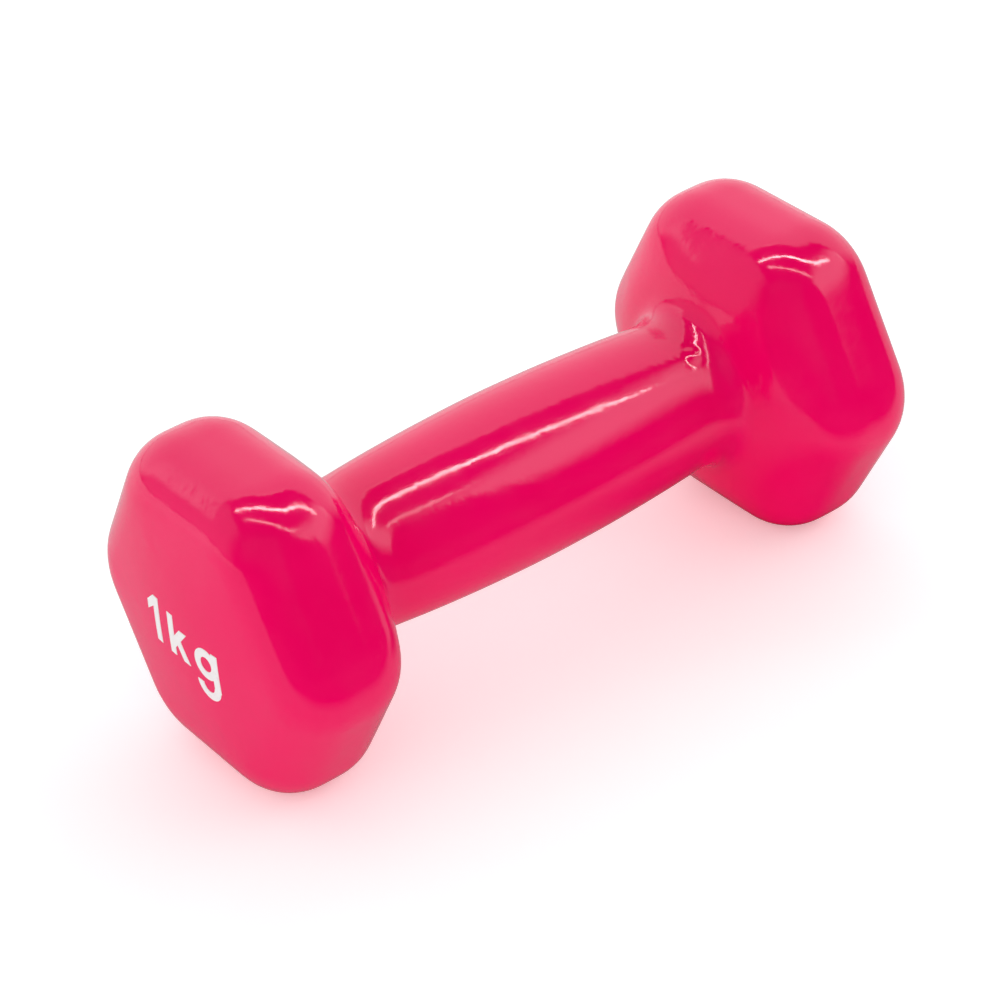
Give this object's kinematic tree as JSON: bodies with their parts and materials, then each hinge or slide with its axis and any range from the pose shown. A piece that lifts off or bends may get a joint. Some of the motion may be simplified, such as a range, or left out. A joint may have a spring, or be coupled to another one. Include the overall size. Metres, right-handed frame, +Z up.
{
  "type": "hex dumbbell",
  "caption": "Vinyl-dipped hex dumbbell with rounded six-sided heads and a barrel-shaped grip over a one-piece iron casting.",
  "frame": {"origin": "middle of the footprint, on the surface that the two lower flats rest on", "axes": "+X along the grip from the printed end to the plugged end, +Z up, square to the flats that it rests on"},
  "size_m": [0.1331, 0.0608, 0.0572],
  "materials": {
    "iron": "as-cast, sand texture",
    "vinyl": "glossy dipped PVC, pink-red",
    "plug": "satin PVC, slightly darker than the skin",
    "ink": "white pad-printed ink"
  },
  "bodies": {
    "root": {"cast_iron_core": "iron", "vinyl_coat": "vinyl", "hanger_plug": "plug", "weight_print": "ink"}
  },
  "joints": []
}
